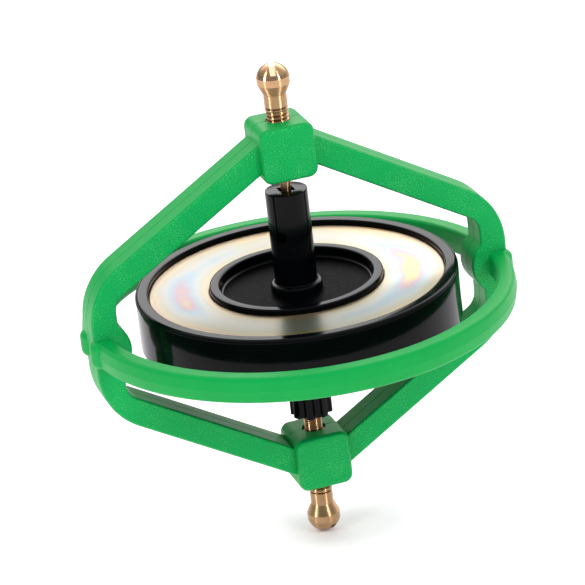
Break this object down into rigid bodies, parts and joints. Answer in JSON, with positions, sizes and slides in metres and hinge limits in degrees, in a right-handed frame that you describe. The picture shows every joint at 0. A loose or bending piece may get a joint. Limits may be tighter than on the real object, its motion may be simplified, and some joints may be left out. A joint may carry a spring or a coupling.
{
  "type": "gyroscope",
  "caption": "Hand gyroscope: a dished, ring-weighted rotor on a spindle between ball-headed screws, in a frame of arms with a round guard ring.",
  "frame": {"origin": "centre of the rotor, which is the middle of the overall box", "axes": "+Z along the spin axis towards the ball head that is uppermost in use, X across the arms, -Y out of the front half's face"},
  "size_m": [0.0748, 0.0736, 0.0852],
  "materials": {
    "green_plastic": "fine sparkle texture on the flat faces, satin elsewhere",
    "black_plastic": "gloss",
    "brass": "turned",
    "plated_steel": "zinc plated, with faint rainbow tints"
  },
  "bodies": {
    "frame": {"frame_front": "green_plastic", "frame_back": "green_plastic"},
    "rotor": {"rotor_wheel": "black_plastic", "weight_ring": "plated_steel", "spindle": "black_plastic"},
    "top_screw": {"top_screw": "brass"},
    "bottom_screw": {"bottom_screw": "brass"}
  },
  "joints": [
    {"name": "rotor_spin", "type": "hinge", "parent": "frame", "child": "rotor", "pos_m": [0, 0, 0], "axis": [0, 0, 1], "continuous": true},
    {"name": "top_screw_turn", "type": "hinge", "parent": "frame", "child": "top_screw", "pos_m": [0, 0, 0.028], "axis": [0, 0, 1], "range_deg": [-45, 360]},
    {"name": "bottom_screw_turn", "type": "hinge", "parent": "frame", "child": "bottom_screw", "pos_m": [0, 0, -0.028], "axis": [0, 0, -1], "range_deg": [-45, 360]}
  ]
}
